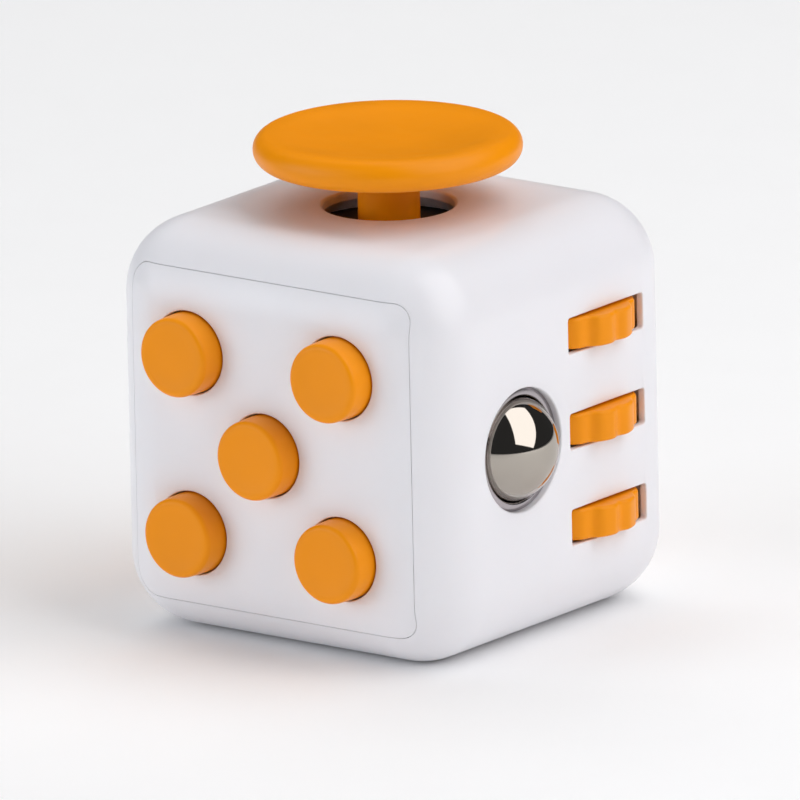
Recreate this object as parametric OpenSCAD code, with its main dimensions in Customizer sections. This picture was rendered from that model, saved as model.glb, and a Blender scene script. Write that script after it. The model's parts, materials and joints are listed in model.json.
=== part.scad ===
// Fidget cube: a rounded two-cover housing that carries a different control on each face.
// -Y five push buttons, +X three scroll wheels and a push-in ball, +Z a gliding thumb disc,
// +Y a rocker switch, -X a free-spinning dial, and a thumb dish in the underside.
// Millimetres, +Z up, origin at the centre of the underside.

/* [Housing] */
// Side of the cube body
cube_side = 33; // [32.8:0.1:33.5]
// Radius of the body's edges and corners
edge_r = 6; // [5.8:0.1:6.2]
// Wall thickness
wall = 1.8; // [1.7:0.05:1.85]
// Half side of the front and back cover plates
plate_half = 13.5; // [13.3:0.1:13.6]
// Corner radius of the cover plates
plate_corner_r = 1.6; // [1.2:0.1:2]
// Thickness of the cover plates
plate_t = 2.2; // [2.1:0.05:2.3]

/* [Push buttons] */
// Radius of a button cap
button_r = 3.25; // [3.1:0.05:3.4]
// Distance of the outer buttons from the face's centre lines
button_offset = 7.3; // [7.2:0.1:7.4]
// How far a button stands proud of its face
button_proud = 2.1; // [1.8:0.1:2.2]

/* [Thumb disc] */
// Radius of the disc
disc_r = 10.6; // [10:0.1:11]
// Height of the disc's underside over the base
disc_base_z = 36.3; // [36:0.1:36.6]
// Thickness of the disc
disc_t = 2.6; // [2.5:0.1:2.8]
// Radius of the disc's stem
stem_r = 2.45; // [2.2:0.05:2.6]
// Radius of the hole that the stem glides in
glide_hole_r = 5.2; // [5.1:0.1:5.3]

/* [Scroll wheels] */
// Tip radius of a wheel
wheel_r = 5.8; // [5.6:0.1:5.8]
// Thickness of a wheel
wheel_t = 2.5; // [2.3:0.1:2.5]
// Teeth on a wheel
wheel_teeth = 12; // [12:12]
// Distance between neighbouring wheels
wheel_pitch = 7.74; // [7.7:0.02:7.8]
// Distance of the wheels' axle from the face's centre line
axle_y = 6; // [5.95:0.01:6.05]

/* [Ball] */
// Radius of the steel ball
ball_r = 4.4; // [4.35:0.01:4.42]
// How far the ball stands proud of its face
ball_proud = 2.4; // [2.35:0.01:2.45]
// Distance of the ball from the face's centre line
ball_y = -5.05; // [-5.1:0.01:-5]

/* [Rocker switch] */
// Half width of the rocker
rocker_half_w = 4.15; // [4:0.05:4.2]
// Tilt of the rocker either way from its middle
rocker_tilt = 9; // [8:0.5:9.5]

/* [Dial and dish] */
// Radius of the dial
dial_r = 8.6; // [8:0.1:9]
// How far the dial stands proud of its face
dial_proud = 1.4; // [1.2:0.1:1.6]
// Ribs round the dial's rim
dial_ribs = 24; // [20:2:28]
// Radius of the thumb dish at the underside
dish_r = 8.5; // [8:0.1:8.6]
// Depth of the thumb dish
dish_depth = 1.2; // [1:0.05:1.2]

/* [Hidden] */
$fn = 64;
BLOCK_FN = 40;
EPS = 0.2; // overlap that joins two solids of one piece

SHELL_WHITE = [0.95, 0.95, 0.96];
ORANGE = [1.0, 0.56, 0.04];
FRAME_GREY = [0.78, 0.79, 0.80];
STEEL = [0.72, 0.72, 0.74];
RUBBER = [0.25, 0.25, 0.27];
BLACK_PLASTIC = [0.14, 0.14, 0.15];

half = cube_side / 2;
zc = half; // height of the cube's centre
inner = half - wall; // distance of an inner wall face from the centre
plate_inner = half - plate_t; // distance of a cover's inner face from the centre
plate_gap = 0.1;
window_half = 12.4; // the opening behind a cover
rim_outer = 12.3; // the covers' locating rims
rim_inner = 11.75;
rim_depth = 1;
screw_r = 0.5;
screw_head_r = 1;
screw_head_t = 0.7;
boss_r = 1.3;

// push buttons
button_clearance = 0.12;
button_fillet = 0.4;
button_flange_r = 3.95;
button_centre_at = [-0.25, -0.3];
button_flange_t = 0.75;
button_flange_gap = 0.05;
button_nib_r = 1.2;
button_nib = 0.6;
carrier_t = 0.8;
carrier_half = 11.9;
dome_r = 2.6;
dome_h = 0.88;
dome_gap = 0.02;
carrier_face = plate_inner - button_flange_gap - button_flange_t - button_nib - dome_gap - dome_h;
standoff_offset = 10.8;

// thumb disc
slider_r = 7.7;
slider_t = 0.75;
slider_top = cube_side - wall - 0.15;
key_half = 3;
key_t = 1.2;
spindle_r = 1.3;
spindle_end_z = 27.15;
carriage_half_x = 6.5;
carriage_half_y = 7;
carriage_t = 1;
carriage_z = 29.15;
glide_travel = 2.3;
pan_half = 10.1;
pan_floor_z = 27.9;
pan_floor_t = 1.05;
pan_top_z = 30.2;
pan_screw_offset = 8.6;
slide_gap = 0.05;

// scroll wheels
axle_x = half - 4.4;
axle_r = 0.98;
wheel_bore_r = 1.03;
slot_half_y = 4.88;
slot_half_z = 1.45;
slot_wall = 1;
ear_t = 1.5;
end_ear_t = 1.1;
end_ear_z = 9.3;
ear_half_w = 2.5;
bracket_x = 4.95;
bracket_t = 1;
bracket_front = bracket_x + bracket_t;
bracket_screws = [[-8.5, 8.6], [-1.5, 8.6], [-8.5, -8.6], [axle_y, -11.8]];

// ball
ball_x = half + ball_proud - ball_r;
ball_ring_r = 4.95;
ball_lip_r = 4.22;
cup_back = ball_x - ball_r - 0.6;
cup_front = ball_x - 1.6;
cup_r = 4.6;
cup_stem_r = 1.6;
cup_stem_end = 5.5;
barrel_front = 7.4;
barrel_back = 2.6;
barrel_floor = 3.8;
ball_dome_h = 0.9;

// rocker
pivot_y = 13.4;
pin_r = 0.75;
rocker_top = 3.2; // height of the rocker's middle over its pin
rocker_end_r = 8.3;
rocker_window_r = 8.45;
rocker_floor = 0.9;
tube_r = 1.7;
plunger_r = 0.98;
plunger_reach = 5.28; // from the pin's axis to the plunger's tip
cam_r = 5.6;
bracket_screw_z = 10.6;

// dial
dial_recess = 0.8;
dial_gap = 0.15;
dial_hub_r = 2.45;
dial_hub_end = 2.1; // hub's length below the recess floor

module along_x() rotate([0, 90, 0]) children();
module towards_front() rotate([90, 0, 0]) children();
module towards_back() rotate([-90, 0, 0]) children();

// points of an arc, counter-clockwise from angle a0 to a1
function arc(centre, r, a0, a1, steps) =
    [for (i = [0:steps]) let (a = a0 + (a1 - a0) * i / steps) [centre.x + r * cos(a), centre.y + r * sin(a)]];

// a solid block with every edge and corner rounded, centred in the cube
module rounded_block(side, r) {
    k = side / 2 - r;
    translate([0, 0, zc])
        hull() {
            for (x = [-k, k], y = [-k, k], z = [-k, k])
                translate([x, y, z]) sphere(r = r, $fn = BLOCK_FN);
            cube([side, 2 * k, 2 * k], center = true);
            cube([2 * k, side, 2 * k], center = true);
            cube([2 * k, 2 * k, side], center = true);
        }
}

module rounded_square(h, r) {
    square([2 * h, 2 * (h - r)], center = true);
    square([2 * (h - r), 2 * h], center = true);
    for (x = [-1, 1], y = [-1, 1]) translate([x * (h - r), y * (h - r)]) circle(r = r);
}

// a square prism along Y from y0 to y1, centred on the cube's middle
module face_prism(h, r, y0, y1)
    translate([0, y1, zc]) towards_front() linear_extrude(y1 - y0) rounded_square(h, r);

module screw(length, head_r = screw_head_r, r = screw_r) {
    cylinder(r = r, h = length);
    difference() {
        translate([0, 0, -screw_head_t]) cylinder(r = head_r, h = screw_head_t);
        for (a = [0, 90]) rotate(a) translate([0, 0, -screw_head_t])
            cube([head_r, 0.25, 0.6], center = true);
    }
}

module ring(outer, inner_r, h) {
    difference() {
        cylinder(r = outer, h = h);
        translate([0, 0, -1]) cylinder(r = inner_r, h = h + 2);
    }
}

// a thin dome, its rim at z 0 and its crown at z h
module dome(r, h, t) {
    rise_r = (r * r + h * h) / (2 * h);
    a = asin(r / rise_r);
    section = concat(
        arc([0, h - rise_r], rise_r, 90 - a, 90, 6),
        arc([0, h - rise_r], rise_r - t, 90, 90 - a, 6));
    rotate_extrude() polygon([for (p = section) [p.x, max(p.y, 0)]]);
}

// ---- housing ----

module body_shell() color(SHELL_WHITE) difference() {
    rounded_block(cube_side, edge_r);
    cavity();
    for (s = [-1, 1]) {
        y_out = s * (half + 1);
        y_in = s * plate_inner;
        y_deep = s * 10;
        face_prism(plate_half + plate_gap, plate_corner_r + plate_gap, min(y_out, y_in), max(y_out, y_in));
        face_prism(window_half, 1, min(y_deep, y_out), max(y_deep, y_out));
    }
    translate([0, 0, cube_side - wall - 1]) cylinder(r = glide_hole_r, h = wall + 2);
    for (x = [-1, 1], y = [-1, 1])
        translate([x * pan_screw_offset, y * pan_screw_offset, pan_top_z - 1]) cylinder(r = screw_r, h = 1.8);
    for (p = bracket_screws)
        translate([bracket_front - 1, p[0], zc + p[1]]) along_x() cylinder(r = screw_r, h = 5);
    for (k = [-1:1])
        translate([inner - 1, axle_y - slot_half_y, zc + k * wheel_pitch - slot_half_z])
            cube([wall + 2, 2 * slot_half_y, 2 * slot_half_z]);
    wheel_pocket();
    translate([inner - 1, ball_y, zc]) along_x() cylinder(r = ball_ring_r, h = wall + 2);
    translate([-half - 1, 0, zc]) along_x() cylinder(r = dial_r + dial_gap, h = dial_recess + 1);
    translate([-half - 1, 0, zc]) along_x() cylinder(r = dial_hub_r + 0.05, h = wall + 2);
    thumb_dish();
}

// the room inside, less the bosses and the pad over the thumb dish
module cavity() difference() {
    rounded_block(cube_side - 2 * wall, edge_r - wall);
    cylinder(r = dish_r + 1, h = wall + dish_depth);
    for (x = [-1, 1], y = [-1, 1])
        translate([x * pan_screw_offset, y * pan_screw_offset, pan_top_z]) cylinder(r = boss_r, h = 3);
    for (p = bracket_screws)
        translate([bracket_front, p[0], zc + p[1]]) along_x() cylinder(r = 1.2, h = 12);
}

// thins the wall behind the wheel slots, so that the wheels clear it
module wheel_pocket() {
    reach_z = wheel_pitch + slot_half_z + 0.2;
    translate([inner - 1, axle_y - 5.65, zc - reach_z])
        cube([1 + wall - slot_wall, 11.35, 2 * reach_z]);
}

// the dish, with concentric ridges standing in it
module thumb_dish() {
    sphere_r = (dish_r * dish_r + dish_depth * dish_depth) / (2 * dish_depth);
    ridges = [6.4, 4.4, 2.4];
    function floor_z(r) = dish_depth - sphere_r + sqrt(sphere_r * sphere_r - r * r);
    rotate_extrude() polygon(concat(
        [[0, -1], [dish_r, -1], [dish_r, 0]],
        [for (r = ridges, p = [[0.75, 0], [0.35, 0], [0.15, 0.3], [-0.15, 0.3], [-0.35, 0]])
            [r + p[0], floor_z(r + p[0]) - p[1]]],
        [[1.4, floor_z(1.4)], [0, dish_depth]]));
}

// a cover with its outer face on the block, the side s of the cube: -1 front, 1 back
module cover(s) {
    y_out = s * (half + 1);
    y_in = s * plate_inner;
    y_rim = s * (plate_inner - rim_depth);
    intersection() {
        rounded_block(cube_side, edge_r);
        face_prism(plate_half, plate_corner_r, min(y_out, y_in), max(y_out, y_in));
    }
    difference() {
        face_prism(rim_outer, 1, min(y_rim, y_in + s * EPS), max(y_rim, y_in + s * EPS));
        face_prism(rim_inner, 1, min(y_rim - 1, y_in), max(y_rim + 1, y_in));
    }
}

module click_plate() color(SHELL_WHITE) difference() {
    union() {
        cover(-1);
        for (p = standoffs())
            translate([p.x, -carrier_face, zc + p.y]) towards_front()
                cylinder(r = boss_r, h = plate_inner - carrier_face + EPS);
    }
    for (p = button_places())
        translate([p.x, -plate_inner + 2, zc + p.y]) towards_front()
            cylinder(r = button_r + button_clearance, h = plate_t + 4);
    for (p = standoffs())
        translate([p.x, -carrier_face + 1, zc + p.y]) towards_front() cylinder(r = screw_r, h = 4);
}

module flip_plate() color(SHELL_WHITE) difference() {
    union() {
        cover(1);
        for (x = [-1, 1])
            translate([x * 5.1 - 0.6, pivot_y - 1.3, zc - 1.4]) cube([1.2, plate_inner - pivot_y + 1.3 + EPS, 2.8]);
    }
    intersection() {
        translate([-10, pivot_y, zc]) along_x() cylinder(r = rocker_window_r, h = 20);
        translate([-rocker_half_w - 0.15, pivot_y - 2, 0]) cube([2 * rocker_half_w + 0.3, 8, cube_side]);
    }
    translate([-10, pivot_y, zc]) along_x() cylinder(r = pin_r, h = 20);
    for (z = [-1, 1])
        translate([0, plate_inner - 2, zc + z * bracket_screw_z]) towards_back() cylinder(r = screw_r, h = 3.2);
}

// ---- push buttons ----

function button_places() =
    [for (p = [[-1, 1], [1, 1], [0, 0], [-1, -1], [1, -1]]) button_centre_at + button_offset * p];
function standoffs() = [[-standoff_offset, 0], [standoff_offset, 0], [0, -standoff_offset], [0, standoff_offset]];

// the cap, its retaining flange and the nib that presses the dome
module button(i) {
    p = button_places()[i];
    flange_out = -plate_t - button_flange_gap;
    flange_in = flange_out - button_flange_t;
    color(ORANGE) translate([p.x, -half, zc + p.y]) towards_front()
        rotate_extrude() polygon(concat(
            [[0, flange_in - button_nib], [button_nib_r, flange_in - button_nib], [button_nib_r, flange_in],
             [button_flange_r, flange_in], [button_flange_r, flange_out], [button_r, flange_out]],
            arc([button_r - button_fillet, button_proud - button_fillet], button_fillet, 0, 90, 6),
            [[0, button_proud]]));
}

module button_top_left() button(0);
module button_top_right() button(1);
module button_centre() button(2);
module button_bottom_left() button(3);
module button_bottom_right() button(4);

module switch_carrier() color(FRAME_GREY) difference() {
    face_prism(carrier_half, 2, -carrier_face, -carrier_face + carrier_t);
    for (p = standoffs())
        translate([p.x, -carrier_face + 5, zc + p.y]) towards_front() cylinder(r = screw_r, h = 10);
    for (a = [0:90:270])
        translate([0, -carrier_face + 5, zc]) rotate([0, a, 0]) translate([6.4, 0, 0]) towards_front()
            cylinder(r = 1.8, h = 10);
}

module switch_carrier_screws() color(STEEL)
    for (p = standoffs())
        translate([p.x, -carrier_face + carrier_t, zc + p.y]) towards_front() screw(2.4);

module button_dome(i, tone, t) {
    p = button_places()[i];
    color(tone) translate([p.x, -carrier_face, zc + p.y]) towards_front() dome(dome_r, dome_h, t);
}

module snap_dome_top_left() button_dome(0, STEEL, 0.12);
module rubber_dome_top_right() button_dome(1, RUBBER, 0.3);
module snap_dome_centre() button_dome(2, STEEL, 0.12);
module rubber_dome_bottom_left() button_dome(3, RUBBER, 0.3);
module snap_dome_bottom_right() button_dome(4, STEEL, 0.12);

// ---- thumb disc ----

// a dished disc with a round edge, on a stem with a screw hole
module joystick_cap() {
    edge = disc_t / 2;
    dish_edge_r = 8.5;
    dish_edge_z = disc_base_z + disc_t - 0.15;
    dish_low = 0.85;
    dish_sphere = (dish_edge_r * dish_edge_r + dish_low * dish_low) / (2 * dish_low);
    dish_angle = asin(dish_edge_r / dish_sphere);
    stem_end = slider_top;
    hole_end = stem_end + 3.2;
    color(ORANGE) rotate_extrude() polygon(concat(
        [[0, hole_end], [screw_r, hole_end], [screw_r, stem_end], [stem_r, stem_end], [stem_r, disc_base_z]],
        arc([disc_r - edge, disc_base_z + edge], edge, -90, 90, 14),
        arc([0, dish_edge_z - dish_low + dish_sphere], dish_sphere, -90 + dish_angle, -90, 10)));
}

module joystick_slider() color(BLACK_PLASTIC) difference() {
    union() {
        translate([0, 0, slider_top - slider_t]) cylinder(r = slider_r, h = slider_t);
        translate([-key_half, -key_half, slider_top - slider_t - key_t]) cube([2 * key_half, 2 * key_half, key_t + EPS]);
        translate([0, 0, spindle_end_z]) cylinder(r = spindle_r, h = slider_top - slider_t - spindle_end_z);
    }
    translate([0, 0, spindle_end_z - 1]) cylinder(r = screw_r, h = 10);
}

module joystick_screw() color(STEEL)
    translate([0, 0, spindle_end_z]) screw(6.9, 1.8);

// slides along X in the pan and carries the slider along Y
module glide_carriage() color(BLACK_PLASTIC) difference() {
    translate([-carriage_half_x, -carriage_half_y, carriage_z]) cube([2 * carriage_half_x, 2 * carriage_half_y, carriage_t]);
    slot_x = key_half + slide_gap;
    slot_y = key_half + glide_travel + 0.1;
    translate([-slot_x, -slot_y, carriage_z - 1]) cube([2 * slot_x, 2 * slot_y, carriage_t + 2]);
}

module glide_pan() color(FRAME_GREY) difference() {
    translate([-pan_half, -pan_half, pan_floor_z]) cube([2 * pan_half, 2 * pan_half, pan_top_z - pan_floor_z]);
    channel_x = carriage_half_x + glide_travel + 0.1;
    channel_y = carriage_half_y + slide_gap;
    translate([-channel_x, -channel_y, pan_floor_z + pan_floor_t]) cube([2 * channel_x, 2 * channel_y, 5]);
    translate([0, 0, pan_floor_z - 1]) cylinder(r = spindle_r + glide_travel + 0.6, h = 5);
    for (x = [-1, 1], y = [-1, 1])
        translate([x * pan_screw_offset, y * pan_screw_offset, pan_floor_z - 1]) cylinder(r = screw_r, h = 5);
}

module glide_pan_screws() color(STEEL)
    for (x = [-1, 1], y = [-1, 1])
        translate([x * pan_screw_offset, y * pan_screw_offset, pan_floor_z]) screw(3);

// the rubber web that pulls the spindle back to the middle
module centring_web() color(RUBBER) {
    translate([0, 0, pan_floor_z - 0.6]) ring(6.5, 5.4, 0.6);
    translate([0, 0, pan_floor_z - 0.45]) ring(5.5, 2, 0.3);
    translate([0, 0, pan_floor_z - 0.65]) ring(2.1, spindle_r, 0.75);
}

// ---- scroll wheels ----

module wheel(k) {
    scallop_r = 1.05;
    scallop_at = wheel_r + 0.65;
    color(ORANGE) translate([axle_x, axle_y, zc + k * wheel_pitch - wheel_t / 2]) difference() {
        intersection() {
            linear_extrude(wheel_t) difference() {
                circle(r = wheel_r, $fn = 96);
                for (i = [0:wheel_teeth - 1])
                    rotate(i * 360 / wheel_teeth) translate([scallop_at, 0]) circle(r = scallop_r, $fn = 32);
            }
            rotate_extrude() polygon([
                [0, 0], [wheel_r - 0.3, 0], [wheel_r, 0.3], [wheel_r, wheel_t - 0.3],
                [wheel_r - 0.3, wheel_t], [0, wheel_t]]);
        }
        translate([0, 0, -1]) cylinder(r = wheel_bore_r, h = wheel_t + 2);
    }
}

module wheel_top() wheel(1);
module wheel_middle() wheel(0);
module wheel_bottom() wheel(-1);

module wheel_axle() color(STEEL)
    translate([axle_x, axle_y, zc - end_ear_z - end_ear_t - 0.05])
        cylinder(r = axle_r, h = 2 * (end_ear_z + end_ear_t) + 0.1);

// sleeves that keep the wheels apart
module axle_spacers() {
    face = wheel_t / 2 + 0.05;
    middle_ear = wheel_pitch / 2;
    spans = [[face, middle_ear - ear_t / 2], [middle_ear + ear_t / 2, wheel_pitch - face]];
    color(STEEL) for (s = [-1, 1], span = spans) {
        low = min(s * span[0], s * span[1]);
        translate([axle_x, axle_y, zc + low]) ring(1.9, axle_r, span[1] - span[0]);
    }
}

// three sprung fingers, each with a bump that rests between two teeth
module detent_spring() {
    spine_y = axle_y - 5.4;
    leaf_t = 0.2;
    color(STEEL) difference() {
        union() {
            translate([bracket_front, spine_y, zc - 9]) cube([leaf_t, 1.4, 18]);
            for (k = [-1:1]) {
                translate([bracket_front, spine_y + 1, zc + k * wheel_pitch - 0.8]) cube([leaf_t, 4.6, 1.6]);
                translate([bracket_front + 0.15, axle_y, zc + k * wheel_pitch - 0.8]) cylinder(r = 0.4, h = 1.6);
            }
        }
        for (z = [-4, 4])
            translate([bracket_x, spine_y + 0.7, zc + z]) along_x() cylinder(r = 0.4, h = 3);
    }
}

// the frame that holds the wheels' axle and guides the ball's cup
module roll_bracket() color(FRAME_GREY) difference() {
    low = -13.1;
    high = 10.4;
    tab_half = 1.9;
    union() {
        translate([bracket_x, -10.2, zc - 10.4]) cube([bracket_t, 19.2, high + 10.4]);
        translate([bracket_x, axle_y - tab_half, zc + low]) cube([bracket_t, 2 * tab_half, -10.4 - low + EPS]);
        for (z = [[-end_ear_z - end_ear_t, end_ear_t], [-wheel_pitch / 2 - ear_t / 2, ear_t],
                  [wheel_pitch / 2 - ear_t / 2, ear_t], [end_ear_z, end_ear_t]])
            translate([0, 0, zc + z[0]]) {
                translate([bracket_x, axle_y - ear_half_w, 0]) cube([axle_x - bracket_x, 2 * ear_half_w, z[1]]);
                translate([axle_x, axle_y, 0]) cylinder(r = ear_half_w, h = z[1]);
            }
        translate([barrel_back, ball_y, zc]) along_x() cylinder(r = 2.9, h = barrel_front - barrel_back);
        for (z = [-4, 4])
            translate([bracket_x, axle_y - 4.7, zc + z]) along_x() cylinder(r = 0.4, h = 1.5);
    }
    translate([axle_x, axle_y, 0]) cylinder(r = axle_r, h = cube_side);
    translate([barrel_floor, ball_y, zc]) along_x() cylinder(r = cup_stem_r + slide_gap, h = 10);
    for (p = bracket_screws)
        translate([bracket_x - 1, p[0], zc + p[1]]) along_x() cylinder(r = screw_r, h = 5);
    for (k = [-1:1])
        translate([bracket_x - 1, axle_y - 3.6, zc + k * wheel_pitch - 1.1]) cube([bracket_t + 2, 5, 2.2]);
}

module roll_bracket_screws() color(STEEL)
    for (p = bracket_screws)
        translate([bracket_x, p[0], zc + p[1]]) along_x() screw(4.5);

// ---- ball ----

module at_ball(x) translate([x, ball_y, zc]) along_x() children();

module steel_ball() color(STEEL) at_ball(ball_x) sphere(r = ball_r, $fn = 96);

// pressed into the wall; its rolled lip keeps the ball in
module ball_retaining_ring() color(STEEL) at_ball(half)
    rotate_extrude() polygon(concat(
        [[4.5, -2.3], [5.35, -2.3], [5.35, -wall], [ball_ring_r, -wall]],
        arc([4.6, -0.45], 0.35, 0, 90, 4),
        arc([4.6, -0.1 - (4.6 - ball_lip_r)], 4.6 - ball_lip_r, 90, 180, 4),
        [[4.5, -1.2]]));

module ball_cup() color(BLACK_PLASTIC) difference() {
    union() {
        at_ball(cup_back) cylinder(r = cup_r, h = cup_front - cup_back);
        at_ball(cup_stem_end) cylinder(r = cup_stem_r, h = cup_back - cup_stem_end + EPS);
        at_ball(barrel_floor + ball_dome_h + 0.02) cylinder(r = 0.6, h = 1);
    }
    at_ball(ball_x) sphere(r = ball_r + slide_gap, $fn = 96);
}

module ball_return_spring() color(STEEL)
    at_ball(barrel_front) ring(2.6, 1.9, cup_back - barrel_front);

module ball_snap_dome() color(STEEL)
    at_ball(barrel_floor) dome(1.55, ball_dome_h, 0.12);

// ---- rocker switch ----

// children stand at the rocker's pivot, turned to the rest tilt: X across, Y outwards, Z up
module at_rocker() translate([0, pivot_y, zc]) rotate([rocker_tilt, 0, 0]) children();

module across(r, h) rotate([0, 90, 0]) cylinder(r = r, h = h, center = true);

module rocker_switch() {
    run = 9;
    rise = run * tan(rocker_tilt);
    color(ORANGE) at_rocker() difference() {
        union() {
            intersection() {
                across(rocker_end_r, 2 * rocker_half_w);
                rotate([90, 0, 90]) translate([0, 0, -rocker_half_w])
                    linear_extrude(2 * rocker_half_w) polygon([
                        [rocker_floor, -run], [rocker_top + rise, -run], [rocker_top, 0],
                        [rocker_top + rise, run], [rocker_floor, run]]);
            }
            across(1.7, 2 * rocker_half_w);
            translate([0, rocker_floor + EPS, 0]) towards_front() cylinder(r = tube_r, h = 3.6 + rocker_floor + EPS);
        }
        across(pin_r + slide_gap, 20);
        translate([0, -1.2, 0]) towards_front() cylinder(r = plunger_r + slide_gap, h = 5);
    }
}

module rocker_pin() color(STEEL)
    translate([0, pivot_y, zc]) across(pin_r, 11.4);

module rocker_plunger() color(STEEL) at_rocker() {
    translate([0, -2.6, 0]) towards_front() cylinder(r = plunger_r, h = plunger_reach - plunger_r - 2.6);
    translate([0, plunger_r - plunger_reach, 0]) sphere(r = plunger_r);
}

module plunger_spring() color(STEEL) at_rocker()
    translate([0, -1.2, 0]) towards_front() ring(0.9, 0.6, 1.4);

// the arched track that the plunger snaps across, with a ridge in its middle
module detent_bracket() {
    w = 2.6;
    back = 6.8;
    arm_z = 8.5;
    foot_end = 11.65;
    color(FRAME_GREY) difference() {
        union() {
            difference() {
                translate([-w, back, zc - 3.2]) cube([2 * w, 2.2, 6.4]);
                translate([0, pivot_y, zc]) across(cam_r, 20);
            }
            translate([0, pivot_y - cam_r, zc]) across(0.25, 2 * w);
            translate([-w, back, zc - arm_z - 1]) cube([2 * w, 0.8, 2 * arm_z + 2]);
            for (s = [-1, 1]) {
                translate([-w, back, zc + s * (arm_z + 0.5) - 0.5]) cube([2 * w, plate_inner - back, 1]);
                translate([-w, plate_inner - 1, zc + s * (arm_z + foot_end) / 2 - (foot_end - arm_z) / 2])
                    cube([2 * w, 1, foot_end - arm_z]);
            }
        }
        for (s = [-1, 1])
            translate([0, plate_inner - 2, zc + s * bracket_screw_z]) towards_back() cylinder(r = screw_r, h = 4);
    }
}

module detent_bracket_screws() color(STEEL)
    for (s = [-1, 1])
        translate([0, plate_inner - 1, zc + s * bracket_screw_z]) towards_back() screw(2.2);

// ---- dial ----

module at_dial() translate([-half + dial_recess, 0, zc]) rotate([0, -90, 0]) children();

// z 0 is the recess floor, +z outwards
module dial() {
    top = dial_recess + dial_proud;
    low = 0.05;
    color(ORANGE) at_dial() difference() {
        rotate_extrude() polygon(concat(
            [[0, -dial_hub_end], [dial_hub_r, -dial_hub_end], [dial_hub_r, low], [dial_r, low]],
            arc([dial_r - 0.6, top - 0.6], 0.6, 0, 90, 6),
            arc([0, top + 24.0], 24.35, -90 + 17, -90 + 9, 6),
            arc([0, top - 4.0], 4.3, 90 - 40, 90, 6)));
        for (i = [0:dial_ribs - 1])
            rotate(i * 360 / dial_ribs) translate([dial_r + 0.25, 0, dial_recess]) cylinder(r = 0.5, h = 3, $fn = 24);
        translate([5.4, 0, top + 1.9]) sphere(r = 2.6);
        translate([0, 0, -dial_hub_end - 1]) cylinder(r = screw_r, h = 3.6);
    }
}

module dial_washer() color(STEEL) at_dial()
    translate([0, 0, -dial_hub_end - 0.5]) ring(4, screw_r, 0.5);

module dial_screw() color(STEEL) at_dial()
    translate([0, 0, -dial_hub_end - 0.5]) screw(2.8, 1.3);

module dial_wave_washer() color(STEEL) at_dial()
    translate([0, 0, -dial_hub_end + 0.35]) ring(3.9, dial_hub_r + 0.15, 0.3);

body_shell();
click_plate();
flip_plate();
button_top_left();
button_top_right();
button_centre();
button_bottom_left();
button_bottom_right();
switch_carrier();
switch_carrier_screws();
snap_dome_top_left();
rubber_dome_top_right();
snap_dome_centre();
rubber_dome_bottom_left();
snap_dome_bottom_right();
joystick_cap();
joystick_slider();
joystick_screw();
glide_carriage();
glide_pan();
glide_pan_screws();
centring_web();
wheel_top();
wheel_middle();
wheel_bottom();
wheel_axle();
axle_spacers();
detent_spring();
roll_bracket();
roll_bracket_screws();
steel_ball();
ball_retaining_ring();
ball_cup();
ball_return_spring();
ball_snap_dome();
rocker_switch();
rocker_pin();
rocker_plunger();
plunger_spring();
detent_bracket();
detent_bracket_screws();
dial();
dial_screw();
dial_washer();
dial_wave_washer();
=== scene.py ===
"""Looks of the fidget cube: moulded white housing, orange controls, a polished steel ball.

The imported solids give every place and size. Each sub-assembly is a class that builds its
visible pieces around them and dresses the solids that stay. Lengths are in millimetres and
angles in degrees, unless a line says otherwise.
"""
from __future__ import annotations

import json
import logging
import math
from dataclasses import dataclass, field
from enum import Enum
from typing import Iterable, Sequence

import bmesh
import bpy
from mathutils import Matrix, Vector


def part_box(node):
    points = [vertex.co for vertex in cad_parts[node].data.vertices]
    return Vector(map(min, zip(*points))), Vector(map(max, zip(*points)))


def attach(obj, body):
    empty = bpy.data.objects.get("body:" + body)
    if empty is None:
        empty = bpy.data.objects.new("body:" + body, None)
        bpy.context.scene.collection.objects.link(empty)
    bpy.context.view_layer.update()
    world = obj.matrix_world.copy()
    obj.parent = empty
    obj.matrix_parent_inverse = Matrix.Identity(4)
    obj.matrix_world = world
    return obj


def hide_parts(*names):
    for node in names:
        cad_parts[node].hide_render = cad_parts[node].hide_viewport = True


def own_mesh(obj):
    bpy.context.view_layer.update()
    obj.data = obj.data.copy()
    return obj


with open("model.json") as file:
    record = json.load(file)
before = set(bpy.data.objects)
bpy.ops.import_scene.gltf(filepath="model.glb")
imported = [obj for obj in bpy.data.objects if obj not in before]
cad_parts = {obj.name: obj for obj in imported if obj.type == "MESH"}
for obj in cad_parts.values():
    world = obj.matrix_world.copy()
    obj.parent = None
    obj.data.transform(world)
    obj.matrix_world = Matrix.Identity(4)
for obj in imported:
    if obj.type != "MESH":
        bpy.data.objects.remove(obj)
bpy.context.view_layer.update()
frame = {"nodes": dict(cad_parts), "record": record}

LOG = logging.getLogger("fidget_cube")
MM = 0.001
# Half the cube's side, and the height of its middle.
HALF = 16.5
MID_Z = 16.5
# Cutting tools stand this far over the face that they open.
OVERSHOOT = 1.5
# Their lips end this far over it, so that no two faces coincide.
LIP_CLEAR = 0.004
# Depth of a cut that goes right through the wall.
THROUGH = 2.8
# A section's points nearer to its axis than this are poles.
POLE_R = 1e-6
# Most values of a noise texture lie in this span.
NOISE_SPAN = {"From Min": 0.3, "From Max": 0.7}
# A coil's first and last turn need this many wire radii between them.
END_ROOM = 2.2
# How far red, green and blue light travel in white plastic, relative to each other.
LIGHT_REACH = (1.0, 0.8, 0.7)
# Turns a shape drawn in XY to the right side: X goes to Y, Y to Z and Z to X.
ON_RIGHT = Matrix(((0, 0, 1, 0), (1, 0, 0, 0), (0, 1, 0, 0), (0, 0, 0, 1)))

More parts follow.
